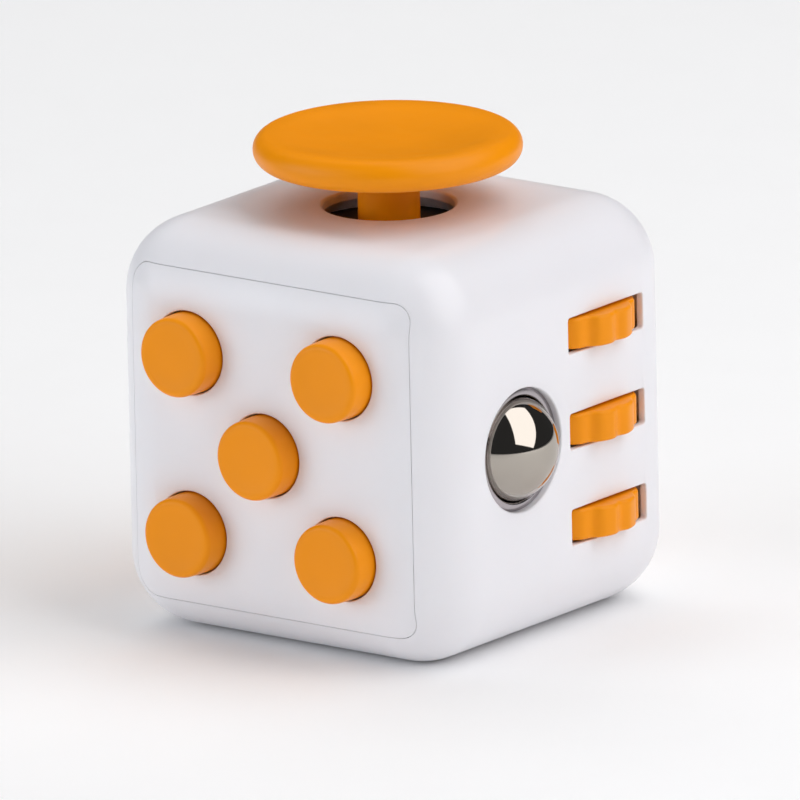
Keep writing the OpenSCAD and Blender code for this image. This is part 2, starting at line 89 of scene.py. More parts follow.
Point = tuple[float, float]
Mesh = bmesh.types.BMesh
Object = bpy.types.Object
Node = bpy.types.Node
NodeTree = bpy.types.NodeTree
Socket = bpy.types.NodeSocket


class Slot(Enum):
    """Material slots of the record."""

    WHITE = "white_abs"
    ORANGE = "orange_abs"
    GREY = "grey_acetal"
    # Its near-black finish is painted shade for the hole round the stem.
    BLACK = "black_acetal"
    STEEL = "steel"
    BALL = "polished_steel"
    RUBBER = "silicone"


class Cut(Enum):
    """How one solid acts on another."""

    REMOVE = "DIFFERENCE"
    KEEP_SHARED = "INTERSECT"
    ADD = "UNION"


# ---------------------------------------------------------------- finishes


def linear(hex_code: str) -> tuple[float, float, float, float]:
    """Turns an sRGB hex colour into linear RGBA.

    Args:
        hex_code: six hex digits.

    Returns:
        The linear colour with an alpha of 1.
    """
    parts = [int(hex_code[i : i + 2], 16) / 255 for i in (0, 2, 4)]
    lin = [c / 12.92 if c <= 0.04045 else ((c + 0.055) / 1.055) ** 2.4 for c in parts]
    return lin[0], lin[1], lin[2], 1.0


def add(tree: NodeTree, kind: str, settings: dict | None = None, links: dict | None = None) -> Node:
    """Adds one node to a tree.

    Args:
        tree: the tree that gets it.
        kind: the node's type name.
        settings: attributes to set on the node.
        links: input name or index to a value or to an output socket.

    Returns:
        The new node.
    """
    node = tree.nodes.new(kind)
    for key, value in (settings or {}).items():
        setattr(node, key, value)
    for key, value in (links or {}).items():
        socket = node.inputs[key]
        if isinstance(value, Socket):
            tree.links.new(value, socket)
        else:
            socket.default_value = value
    return node


@dataclass(frozen=True)
class Finish:
    """What every finish shares: a name, a colour, gloss and a fine surface grain."""

    name: str
    slot: Slot
    colour: str
    roughness: float
    metallic: float = 0.0
    ior: float = 1.5
    grain_mm: float = 0.3
    grain_height_mm: float = 0.002
    grain_strength: float = 0.5
    drift: float = 0.03
    drift_mm: float = 9.0
    gloss_drift: float = 0.06
    gloss_mm: float = 4.0
    least_roughness: float = 0.02

    def material(self) -> bpy.types.Material:
        """Builds the material, or finds it if it is there already.

        Returns:
            The material.
        """
        found = bpy.data.materials.get(self.name)
        if found:
            return found
        made = bpy.data.materials.new(self.name)
        made.use_nodes = True
        made.diffuse_color = linear(self.colour)
        tree = made.node_tree
        tree.nodes.clear()
        coords = add(tree, "ShaderNodeTexCoord").outputs["Object"]
        shader = self.shade(tree, coords)
        add(tree, "ShaderNodeOutputMaterial", {}, {"Surface": shader.outputs["BSDF"]})
        return made

    def shade(self, tree: NodeTree, coords: Socket) -> Node:
        """Lays out the shader.

        Args:
            tree: the material's tree.
            coords: object coordinates, in metres.

        Returns:
            The Principled node.
        """
        links = {
            "Base Color": self.colour_field(tree, coords),
            "Roughness": self.gloss_field(tree, coords),
            "Metallic": self.metallic,
            "Normal": self.relief(tree, coords),
        }
        if self.metallic == 0.0:
            links["IOR"] = self.ior
        return add(tree, "ShaderNodeBsdfPrincipled", {}, links)

    def cloud(self, tree: NodeTree, coords: Socket, size_mm: float, detail: float = 2.0) -> Socket:
        """Noise whose blotches are about size_mm across."""
        noise = add(tree, "ShaderNodeTexNoise", {}, {
            "Vector": coords, "Scale": 1.0 / (size_mm * MM), "Detail": detail})
        return noise.outputs["Fac"]

    def colour_field(self, tree: NodeTree, coords: Socket) -> Socket:
        """The base colour with a slow drift in value, as pigment gives in the moulding.

        Args:
            tree: the material's tree.
            coords: object coordinates, in metres.

        Returns:
            The colour.
        """
        spread = add(tree, "ShaderNodeMapRange", {}, {
            "Value": self.cloud(tree, coords, self.drift_mm), **NOISE_SPAN,
            "To Min": 1.0 - self.drift, "To Max": 1.0 + self.drift})
        tint = add(tree, "ShaderNodeHueSaturation", {}, {
            "Value": spread.outputs["Result"], "Color": linear(self.colour)})
        return tint.outputs["Color"]

    def smears(self, tree: NodeTree, coords: Socket) -> Socket:
        """Where handling has left the surface a little duller."""
        return self.cloud(tree, coords, self.gloss_mm, detail=4.0)

    def grain(self, tree: NodeTree, coords: Socket) -> Socket:
        """Height of the surface grain."""
        return self.cloud(tree, coords, self.grain_mm)

    def gloss_field(self, tree: NodeTree, coords: Socket) -> Socket:
        """Roughness that follows the smears."""
        gloss = add(tree, "ShaderNodeMapRange", {}, {
            "Value": self.smears(tree, coords), **NOISE_SPAN,
            "To Min": max(self.roughness - self.gloss_drift, self.least_roughness),
            "To Max": self.roughness + self.gloss_drift})
        return gloss.outputs["Result"]

    def relief(self, tree: NodeTree, coords: Socket) -> Socket:
        """Bump of the surface grain."""
        bump = add(tree, "ShaderNodeBump", {}, {
            "Height": self.grain(tree, coords),
            "Distance": self.grain_height_mm * MM, "Strength": self.grain_strength})
        return bump.outputs["Normal"]


@dataclass(frozen=True)
class Moulded(Finish):
    """Injection-moulded plastic: spark-eroded grain over a very slow orange-peel wave."""

    wave_mm: float = 3.0
    wave_height_mm: float = 0.004
    glow: float = 0.0
    glow_depth_mm: float = 0.6
    specular: float = 0.5

    def shade(self, tree: NodeTree, coords: Socket) -> Node:
        """Sets the strength of the gloss, and the light that white plastic lets a little way in.

        Args:
            tree: the material's tree.
            coords: object coordinates, in metres.

        Returns:
            The Principled node.
        """
        shader = super().shade(tree, coords)
        shader.inputs["Specular IOR Level"].default_value = self.specular
        if self.glow:
            shader.inputs["Subsurface Weight"].default_value = self.glow
            shader.inputs["Subsurface Radius"].default_value = LIGHT_REACH
            shader.inputs["Subsurface Scale"].default_value = self.glow_depth_mm * MM
        return shader

    def relief(self, tree: NodeTree, coords: Socket) -> Socket:
        """The grain on top of the wave.

        Args:
            tree: the material's tree.
            coords: object coordinates, in metres.

        Returns:
            The normal.
        """
        normal: dict[str, Socket] = {}
        for size, height, detail in ((self.wave_mm, self.wave_height_mm, 0.0),
                                     (self.grain_mm, self.grain_height_mm, 2.0)):
            bump = add(tree, "ShaderNodeBump", {}, {
                "Height": self.cloud(tree, coords, size, detail),
                "Distance": height * MM, "Strength": self.grain_strength, **normal})
            normal = {"Normal": bump.outputs["Normal"]}
        return normal["Normal"]


@dataclass(frozen=True)
class Drawn(Finish):
    """Drawn or turned steel: fine lines along Z in the roughness and the relief."""

    grain_strength: float = 0.6
    line_mm: float = 0.12
    squeeze: float = 0.04

    def lines(self, tree: NodeTree, coords: Socket) -> Socket:
        """Noise drawn out a long way along Z."""
        stretch = add(tree, "ShaderNodeMapping", {}, {"Vector": coords, "Scale": (1.0, 1.0, self.squeeze)})
        return self.cloud(tree, stretch.outputs["Vector"], self.line_mm, detail=3.0)

    def smears(self, tree: NodeTree, coords: Socket) -> Socket:
        """Steel is dull along its lines."""
        return self.lines(tree, coords)

    def grain(self, tree: NodeTree, coords: Socket) -> Socket:
        """Its relief is the lines too."""
        return self.lines(tree, coords)


# ABS, moulded in a spark-eroded tool: white with a satin gloss and a grain of about 0.3 mm.
WHITE_ABS = Moulded("white_moulded_abs", Slot.WHITE, "F0EFF3", 0.34, ior=1.53, drift=0.006, glow=0.08)
# ABS, moulded in a blasted tool: deep orange, with a softer and fainter gloss than the housing.
ORANGE_ABS = Moulded("orange_moulded_abs", Slot.ORANGE, "F99700", 0.4, ior=1.53, specular=0.2)
# Acetal, unpigmented: waxy light grey, moulded.
GREY_ACETAL = Moulded("grey_acetal", Slot.GREY, "B9BCC0", 0.5, ior=1.48, drift=0.02)
# Waxy acetal painted near black: painted shade, standing in for the shadow in the hole round the stem so that
# it looks dark.
SHADE_BLACK_ACETAL = Moulded("black_acetal", Slot.BLACK, "1C1B1C", 0.48, ior=1.48, drift=0.02)
# Plain bright steel for pins, screws and springs: drawn, with fine lines along it.
BRIGHT_STEEL = Drawn("drawn_bright_steel", Slot.STEEL, "C6C5C3", 0.28, metallic=1.0)
# The turned ring round the ball: satin, with only a trace of the tool's feed.
TURNED_STEEL = Finish("satin_turned_steel", Slot.STEEL, "ADA7AA", 0.2, metallic=1.0, grain_mm=0.4,
                      grain_height_mm=0.0005, drift=0.01, gloss_drift=0.04)
# Bearing ball: lapped hardened steel, close to a mirror.
LAPPED_STEEL = Finish("lapped_bearing_steel", Slot.BALL, "AFA89F", 0.04, metallic=1.0, grain_mm=0.5,
                      grain_height_mm=0.0002, drift=0.01, gloss_drift=0.02)
# Silicone rubber, moulded: soft, matt and dark.
SILICONE = Moulded("matt_silicone", Slot.RUBBER, "3A3B3E", 0.75, ior=1.41, drift=0.05)
# The studio floor: painted board, matt and very slightly uneven in value.
PALE_FLOOR = Finish("pale_floor", Slot.WHITE, "FFFFFF", 0.9, grain_mm=5.0, grain_height_mm=0.0, drift=0.004)

KEPT = (WHITE_ABS, ORANGE_ABS, GREY_ACETAL, SHADE_BLACK_ACETAL, BRIGHT_STEEL, LAPPED_STEEL, SILICONE)
FINISHES = {finish.slot.value: finish for finish in KEPT}

# ---------------------------------------------------------------- mesh tools


def object_from(name: str, bm: Mesh) -> Object:
    """Turns a bmesh whose units are millimetres into an object in metres.

    Args:
        name: the object's name.
        bm: the mesh, which is freed.

    Returns:
        The linked object, at the origin.
    """
    bmesh.ops.scale(bm, vec=(MM, MM, MM), verts=bm.verts)
    mesh = bpy.data.meshes.new(name)
    bm.to_mesh(mesh)
    bm.free()
    made = bpy.data.objects.new(name, mesh)
    bpy.context.scene.collection.objects.link(made)
    return made


def tidy(bm: Mesh) -> Mesh:
    """Merges doubles and turns every face outwards.

    Args:
        bm: the mesh, which changes.

    Returns:
        The same mesh.
    """
    bmesh.ops.remove_doubles(bm, verts=bm.verts, dist=1e-5)
    bmesh.ops.recalc_face_normals(bm, faces=bm.faces)
    return bm


def arc(centre: Point, radius: float, start: float, end: float, steps: int = 6) -> list[Point]:
    """Points of an arc in the profile plane.

    Args:
        centre: the arc's centre.
        radius: its radius.
        start: first angle in degrees.
        end: last angle in degrees.
        steps: number of segments.

    Returns:
        steps + 1 points.
    """
    angles = (math.radians(start + (end - start) * i / steps) for i in range(steps + 1))
    return [(centre[0] + radius * math.cos(a), centre[1] + radius * math.sin(a)) for a in angles]


def facing(axis: Sequence[float], at: Sequence[float]) -> Matrix:
    """A placement whose Z runs along axis from the point at.

    Args:
        axis: direction of the new Z.
        at: the new origin, in millimetres.

    Returns:
        The 4x4 matrix.
    """
    return Matrix.Translation(Vector(at)) @ Vector(axis).to_track_quat("Z", "Y").to_matrix().to_4x4()


def lathe(profile: Sequence[Point], place: Matrix, segments: int = 128) -> Mesh:
    """Revolves a closed profile about the placement's Z axis.

    Args:
        profile: (radius, height) points; radius 0 points become poles.
        place: where the axis stands.
        segments: steps round the axis.

    Returns:
        A closed mesh.
    """
    bm = bmesh.new()
    turn = [2 * math.pi * i / segments for i in range(segments)]
    rings: list[list[bmesh.types.BMVert]] = []
    for radius, height in profile:
        angles = turn if radius >= POLE_R else [0.0]
        points = [(radius * math.cos(a), radius * math.sin(a), height) for a in angles]
        rings.append([bm.verts.new(place @ Vector(p)) for p in points])
    count = len(rings)
    closed = len(rings[0]) > 1 or len(rings[-1]) > 1
    for i in range(count if closed else count - 1):
        stitch(bm, rings[i], rings[(i + 1) % count])
    return tidy(bm)


def stitch(bm: Mesh, low: list, high: list) -> None:
    """Joins two rings of vertices, either of which may be a pole.

    Args:
        bm: the mesh that gets the faces.
        low: the first ring's vertices.
        high: the second ring's vertices.
    """
    if len(low) == 1 and len(high) == 1:
        return
    size = max(len(low), len(high))
    for i in range(size):
        j = (i + 1) % size
        corners = [low[i % len(low)], low[j % len(low)], high[j % len(high)], high[i % len(high)]]
        unique = list(dict.fromkeys(corners))
        if len(unique) >= 3:
            bm.faces.new(unique)


def bar(radius: float, low: float, high: float) -> list[Point]:
    """Section of a plain round bar from height low to height high."""
    return [(0, low), (radius, low), (radius, high), (0, high)]


def globe(radius: float, steps: int) -> list[Point]:
    """Section of a sphere about the origin, from its top pole to its bottom pole.

    Args:
        radius: the sphere's radius.
        steps: segments from pole to pole.

    Returns:
        steps + 1 points.
    """
    inner = [math.pi * i / steps for i in range(1, steps)]
    return [(0.0, radius), *((radius * math.sin(a), radius * math.cos(a)) for a in inner), (0.0, -radius)]


def flare(radius: float, lip: float, steps: int = 6) -> list[Point]:
    """Section of a hole's softened lip, from the bore out to the face at height 0.

    Args:
        radius: the hole's radius.
        lip: radius of the rounding.
        steps: segments of the rounding.

    Returns:
        steps + 1 points.
    """
    return [(radius + lip - x, y) for x, y in arc((0, LIP_CLEAR - lip), lip, 0, 90, steps)]


def lipped_bore(radius: float, depth: float, lip: float, place: Matrix) -> Mesh:
    """A round tool that cuts a hole with a soft lip.

    Args:
        radius: the hole's radius.
        depth: the hole's depth below Z 0.
        lip: radius of its softened lip.
        place: placement; Z points out of the face.

    Returns:
        A closed mesh.
    """
    edge = flare(radius, lip)
    return lathe([(0, -depth), (radius, -depth), *edge, (edge[-1][0], OVERSHOOT), (0, OVERSHOOT)], place)


def rounded_outline(half_u: float, half_v: float, radius: float, steps: int = 6) -> list[Point]:
    """A rectangle with round corners, counter-clockwise.

    Args:
        half_u: half its width.
        half_v: half its height.
        radius: corner radius.
        steps: segments in a corner.

    Returns:
        The outline's points.
    """
    points: list[Point] = []
    for k, (su, sv) in enumerate(((1, 1), (-1, 1), (-1, -1), (1, -1))):
        centre = (su * (half_u - radius), sv * (half_v - radius))
        points += arc(centre, radius, 90 * k, 90 * k + 90, steps)
    return points


def loft(rings: Sequence[Sequence[Sequence[float]]], place: Matrix) -> Mesh:
    """Skins closed rings of equal length and caps both ends.

    Args:
        rings: rings of (x, y, z) points.
        place: placement of the points.

    Returns:
        A closed mesh.
    """
    bm = bmesh.new()
    made = [[bm.verts.new(place @ Vector(p)) for p in ring] for ring in rings]
    for low, high in zip(made, made[1:]):
        stitch(bm, low, high)
    caps = [bm.faces.new(made[0]), bm.faces.new(made[-1])]
    bmesh.ops.triangulate(bm, faces=caps)
    return tidy(bm)


def prism(outline: Sequence[Point], low: float, high: float, place: Matrix) -> Mesh:
    """Stretches an outline from height low to height high into a closed mesh."""
    return loft([[(u, v, z) for u, v in outline] for z in (low, high)], place)


def lipped_prism(half: Point, radius: float, depth: float, lip: float, place: Matrix) -> Mesh:
    """A tool that cuts a round-cornered window with a soft lip.

    Args:
        half: half its width and half its height.
        radius: corner radius.
        depth: how deep it goes below Z 0.
        lip: radius of its softened lip.
        place: placement; Z points out of the face.

    Returns:
        A closed mesh.
    """
    edge = flare(0.0, lip, 5)
    stations = [(0.0, -depth), *edge, (edge[-1][0], OVERSHOOT)]
    return loft([[(u, v, z) for u, v in rounded_outline(half[0] + e, half[1] + e, radius + e)]
                 for e, z in stations], place)


def block(half: float, radius: float, steps: int = 12, flats: int = 6) -> Mesh:
    """A cube with every edge and corner rounded, made of even quads.

    Args:
        half: half its side.
        radius: radius of the edges and corners.
        steps: segments in 45 degrees of rounding.
        flats: segments across the flat of a face.

    Returns:
        A closed mesh centred in the cube body.
    """
    inner = half - radius
    rim = [inner + radius * math.tan(math.radians(45 * i / steps)) for i in range(1, steps + 1)]
    line = [-v for v in reversed(rim)] + [inner * (2 * i / flats - 1) for i in range(flats + 1)] + rim
    bm = bmesh.new()
    for axis in range(3):
        for sign in (-1, 1):
            grid = [[bm.verts.new(on_block(axis, sign, (u, v), half, inner, radius)) for v in line]
                    for u in line]
            for i in range(len(line) - 1):
                for j in range(len(line) - 1):
                    bm.faces.new((grid[i][j], grid[i + 1][j], grid[i + 1][j + 1], grid[i][j + 1]))
    return tidy(bm)


def on_block(axis: int, sign: int, spot: Point, half: float, inner: float, radius: float) -> Vector:
    """The point of the rounded cube that lies under a point of the sharp cube's face.

    Args:
        axis: index of the face's normal axis.
        sign: which of the two faces on that axis.
        spot: place along the next two axes.
        half: half the sharp cube's side.
        inner: half the side of the cube that the rounding is swept over.
        radius: radius of the rounding.

    Returns:
        The point, with the cube's middle at its height in the frame.
    """
    raw = [0.0, 0.0, 0.0]
    raw[axis], raw[(axis + 1) % 3], raw[(axis + 2) % 3] = sign * half, *spot
    core = Vector([min(max(c, -inner), inner) for c in raw])
    return core + (Vector(raw) - core).normalized() * radius + Vector((0, 0, MID_Z))


def carve(target: Object, tools: Iterable[Mesh], how: Cut) -> Object:
    """Applies solids to a target one after another.

    Args:
        target: the object that changes.
        tools: the solids, which are used up.
        how: remove, add or keep what is shared.

    Returns:
        The target.
    """
    for tool_mesh in tools:
        tool = object_from("tool", tool_mesh)
        step = target.modifiers.new("cut", "BOOLEAN")
        step.operation, step.object, step.solver = how.value, tool, "MANIFOLD"
        mesh = bpy.data.meshes.new_from_object(target.evaluated_get(bpy.context.evaluated_depsgraph_get()))
        target.modifiers.clear()
        old, target.data = target.data, mesh
        bpy.data.meshes.remove(old)
        bpy.data.objects.remove(tool)
    return target


@dataclass
class Assembly:
    """Base of every sub-assembly: keeps what its pieces share."""

    pieces: list[Object] = field(default_factory=list)

    def build(self) -> None:
        """Makes the sub-assembly's pieces."""
        raise NotImplementedError

    def finish_piece(self, piece: Object, name: str, finish: Finish, body: str,
                     nodes: Sequence[str], sharp: float = 32.0) -> Object:
        """Names, shades, paints and hangs a piece on its body.

        Args:
            piece: the object.
            name: its final name.
            finish: the finish it gets.
            body: the body it rides on.
            nodes: the solids it stands for.
            sharp: edges over this angle in degrees stay sharp.

        Returns:
            The piece.
        """
        piece.name = piece.data.name = name
        mesh = piece.data
        mesh.materials.clear()
        mesh.materials.append(finish.material())
        for face in mesh.polygons:
            face.use_smooth, face.material_index = True, 0
        mesh.set_sharp_from_angle(angle=math.radians(sharp))
        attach(piece, body)
        if nodes:
            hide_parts(*nodes)
        self.pieces.append(piece)
        LOG.info("%s on %s: %d faces", name, body, len(mesh.polygons))
        return piece


def middle(node: str) -> Vector:
    """Centre of a solid's box, in millimetres."""
    low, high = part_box(node)
    return (low + high) / (2 * MM)


def corner(node: str, side: int) -> Vector:
    """Lowest (0) or highest (1) corner of a solid's box, in millimetres."""
    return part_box(node)[side] / MM


def taken_back(thing: Object) -> Mesh:
    """Takes an object's mesh back, in millimetres, and removes the object.

    Args:
        thing: the object.

    Returns:
        Its mesh.
    """
    bm = bmesh.new()
    bm.from_mesh(thing.data)
    bmesh.ops.scale(bm, vec=(1 / MM, 1 / MM, 1 / MM), verts=bm.verts)
    bpy.data.objects.remove(thing)
    return bm


@dataclass
class Housing(Assembly):
    """The rounded body and its two cover plates."""

    edge_r: float = 6.0
    wall: float = 1.8
    plate_half: float = 13.5
    plate_corner: float = 1.6
    plate_t: float = 2.2
    seam: float = 0.045
    window_half: float = 12.4
    window_in: float = 10.0
    rim_out: Point = (12.3, 1.0)
    rim_in: Point = (11.75, 0.6)
    pad_r: float = 9.5
    boss_r: float = 1.3
    boss_at: float = 8.6
    hole_r: float = 5.2
    hole_lip: float = 0.3
    hole_rim: float = 0.75
    undercut: float = 1.1
    slot_half: Point = (4.88, 1.45)
    slot_wall: float = 0.6
    pocket_half: float = 5.675
    pitch: float = 7.74
    axle_y: float = 6.0
    ring_r: float = 4.95
    ball_y: float = -5.05
    dial_r: float = 8.75
    dial_in: float = 0.8
    hub_r: float = 2.5
    dish_r: float = 8.5
    dish_depth: float = 1.2
    ridges: tuple[float, ...] = (2.4, 4.4, 6.4)
    ridge_h: float = 0.3
    ridge_half: float = 0.4
    button_hole_r: float = 3.37
    rocker_half: Point = (4.3, 7.86)

    def build(self) -> None:
        """Makes the body, the front cover and the back cover."""
        self.body()
        self.cover("front_cover", -1, "click_plate", self.front_holes())
        self.cover("back_cover", 1, "flip_plate", self.back_holes())

    def body(self) -> None:
        """Carves the body out of the rounded block."""
        shell = object_from("shell", block(HALF, self.edge_r))
        carve(shell, [block(HALF - self.wall, self.edge_r - self.wall, 6)], Cut.REMOVE)
        pad = lathe(bar(self.pad_r, 1.6, 3.0), Matrix.Identity(4), 96)
        spots = [(x * self.boss_at, y * self.boss_at, 0) for x in (-1, 1) for y in (-1, 1)]
        bosses = [lathe(bar(self.boss_r, 30.2, 31.4), Matrix.Translation(spot), 32) for spot in spots]
        carve(shell, [pad, *bosses], Cut.ADD)
        carve(shell, self.body_cuts(), Cut.REMOVE)
        self.finish_piece(shell, "housing_body", WHITE_ABS, "housing", ["body_shell"], 28.0)

    def body_cuts(self) -> list[Mesh]:
        """Every opening of the body.

        Returns:
            The tools that cut them.
        """
        cuts = []
        recess = self.plate_half + self.seam
        for side in (-1, 1):
            out = facing((0, side, 0), (0, 0, MID_Z))
            outline = rounded_outline(recess, recess, self.plate_corner + self.seam, 8)
            cuts.append(prism(outline, HALF - self.plate_t, HALF + 1, out))
            outline = rounded_outline(self.window_half, self.window_half, 1.0, 8)
            cuts.append(prism(outline, self.window_in, HALF + 1, out))
        cuts.append(self.undercut_hole())
        pocket = rounded_outline(self.pocket_half, self.pitch + self.slot_half[1] + 0.2, 0.05, 2)
        behind = Matrix.Translation((0, self.axle_y + 0.025, MID_Z)) @ ON_RIGHT
        cuts.append(prism(pocket, HALF - self.wall - 1, HALF - self.slot_wall, behind))
        for k in (-1, 0, 1):
            place = Matrix.Translation((HALF, self.axle_y, MID_Z + k * self.pitch)) @ ON_RIGHT
            cuts.append(lipped_prism(self.slot_half, 0.25, THROUGH, 0.14, place))
        left = facing((-1, 0, 0), (-HALF, 0, MID_Z))
        cuts.append(lipped_bore(self.ring_r, THROUGH, 0.16, facing((1, 0, 0), (HALF, self.ball_y, MID_Z))))
        cuts.append(lipped_bore(self.dial_r, self.dial_in, 0.3, left))
        cuts.append(lipped_bore(self.hub_r, THROUGH, 0.1, left))
        cuts.append(self.thumb_dish())
        return cuts

    def undercut_hole(self) -> Mesh:
        """The tool for the stem's hole, which opens out underneath so that the rim looks thin.

        Returns:
            The tool.
        """
        wide = self.hole_r + self.undercut
        edge = flare(self.hole_r, self.hole_lip)
        profile = [(0, -THROUGH), (wide, -THROUGH), (wide, -self.wall), (self.hole_r, -self.hole_rim),
                   *edge, (edge[-1][0], OVERSHOOT), (0, OVERSHOOT)]
        return lathe(profile, Matrix.Translation((0, 0, 2 * HALF)))

    def thumb_dish(self) -> Mesh:
        """The tool for the thumb dish: a shallow bowl whose floor keeps three round ridges.

        Returns:
            The tool.
        """
        radius, deep, steps = self.dish_r, self.dish_depth, 120
        bowl_r = (radius**2 + deep**2) / (2 * deep)
        profile: list[Point] = [(0, -1), (radius + 0.25, -1), (radius + 0.25, -0.01),
                                (radius + 0.1, 0.01), (radius - 0.2, 0.06)]
        for i in range(2, steps + 1):
            r = (radius - 0.25) * (1 - i / steps)
            off = min(abs(r - at) for at in self.ridges)
            ridge = self.ridge_h * math.cos(min(off / self.ridge_half, 1) * math.pi / 2) ** 2
            profile.append((r, deep - bowl_r + math.sqrt(bowl_r**2 - r**2) - ridge))
        return lathe(profile, Matrix.Identity(4))

    def cover(self, name: str, side: int, node: str, holes: list[Mesh]) -> None:
        """One cover plate with its locating rim.

        Args:
            name: the piece's name.
            side: -1 for the front, 1 for the back.
            node: the solid it stands for.
            holes: tools for its openings.
        """
        out = facing((0, side, 0), (0, 0, MID_Z))
        inside = HALF - self.plate_t
        outline = rounded_outline(self.plate_half, self.plate_half, self.plate_corner, 8)
        plate = object_from(name, block(HALF, self.edge_r))
        carve(plate, [prism(outline, inside, HALF + 1, out)], Cut.KEEP_SHARED)
        outer, inner = (rounded_outline(half, half, r) for half, r in (self.rim_out, self.rim_in))
        rim = object_from("rim", prism(outer, inside - 1, inside + 0.2, out))
        carve(rim, [prism(inner, inside - 2, inside + 1, out)], Cut.REMOVE)
        carve(plate, [taken_back(rim)], Cut.ADD)
        carve(plate, holes, Cut.REMOVE)
        self.finish_piece(plate, name, WHITE_ABS, "housing", [node], 28.0)

    def front_holes(self) -> list[Mesh]:
        """Tools for five button holes with soft lips."""
        places = [facing((0, -1, 0), (at.x, -HALF, at.z)) for at in map(middle, SWITCHES)]
        return [lipped_bore(self.button_hole_r, 2.9, 0.14, place) for place in places]

    def back_holes(self) -> list[Mesh]:
        """The tool for the rocker's window."""
        return [lipped_prism(self.rocker_half, 0.3, 3.2, 0.2, facing((0, 1, 0), (0, HALF, MID_Z)))]


SWITCHES = {
    "button_top_left": "snap_dome_top_left",
    "button_top_right": "rubber_dome_top_right",
    "button_centre": "snap_dome_centre",
    "button_bottom_left": "rubber_dome_bottom_left",
    "button_bottom_right": "snap_dome_bottom_right",
}


@dataclass
class ClickButtons(Assembly):
    """Five round push buttons."""

    cap_r: float = 3.25
    flange_r: float = 3.95
    flange_in: float = -3.0
    flange_out: float = -2.25
    chamfer: float = 0.1
    stub_r: float = 1.2
    stub_in: float = -3.6
    rim_r: float = 0.42
    draft: float = 0.06

    def build(self) -> None:
        """Makes a button for each solid."""
        for name in SWITCHES:
            at = middle(name)
            front = -corner(name, 0).y - HALF
            cap = lathe(self.profile(front), facing((0, -1, 0), (at.x, -HALF, at.z)), 96)
            self.finish_piece(object_from(name, cap), name + "_cap", ORANGE_ABS, name, [name], 40.0)

    def profile(self, front: float) -> list[Point]:
        """The cap's section: a drafted side, a soft rim and a faintly dished face.

        Args:
            front: height of the face over the housing.

        Returns:
            Profile points from the back to the face's middle.
        """
        r, cut = self.cap_r, self.chamfer
        stub = [(0, self.stub_in), (self.stub_r - cut, self.stub_in), (self.stub_r, self.stub_in + cut),
                (self.stub_r, self.flange_in)]
        flange = [(self.flange_r - cut, self.flange_in), (self.flange_r, self.flange_in + cut),
                  (self.flange_r, self.flange_out - cut), (self.flange_r - cut, self.flange_out)]
        rim = arc((r - self.draft - self.rim_r, front - self.rim_r), self.rim_r, 4, 86, 8)
        face = [(r - 0.75, front - 0.005), (r - 0.95, front - 0.04), (1.6, front - 0.09),
                (0.8, front - 0.1), (0, front - 0.1)]
        return [*stub, *flange, (r, self.flange_out), (r, 0.0), *rim, *face]


@dataclass
class ThumbDisc(Assembly):
    """The gliding disc on its stem."""

    radius: float = 10.6
    under: float = 36.3
    stem_r: float = 2.45
    fillet: float = 0.3
    screw_r: float = 0.5
    screw_h: float = 3.2
    dish_r: float = 8.3
    dish_depth: float = 0.8
    crest_drop: float = 0.12

    def build(self) -> None:
        """Makes the disc and stem in one piece."""
        low, high = corner("joystick_cap", 0).z, corner("joystick_cap", 1).z
        half_t = (high - self.under) / 2
        inset = self.under - self.fillet
        profile = [(0, low + self.screw_h), (self.screw_r, low + self.screw_h), (self.screw_r, low),
                   (self.stem_r, low), (self.stem_r, inset),
                   *arc((self.stem_r + self.fillet, inset), self.fillet, 180, 90, 4),
                   *arc((self.radius - half_t, self.under + half_t), half_t, -90, 78, 18),
                   *self.dished_top(high)]
        disc = object_from("disc", lathe(profile, Matrix.Identity(4), 160))
        self.finish_piece(disc, "thumb_disc", ORANGE_ABS, "joystick", ["joystick_cap"], 50.0)

    def dished_top(self, high: float, steps: int = 16) -> list[Point]:
        """Points from the rim's crest down the dish to its middle.

        Args:
            high: height of the crest.
            steps: segments down the dish.

        Returns:
            steps + 1 points.
        """
        points = []
        for i in range(steps + 1):
            share = 1 - i / steps
            depth = self.crest_drop + (self.dish_depth - self.crest_drop) * (1 - share**2)
            points.append((self.dish_r * share, high - depth))
        return points


# ---------------------------------------------------------------- geometry nodes


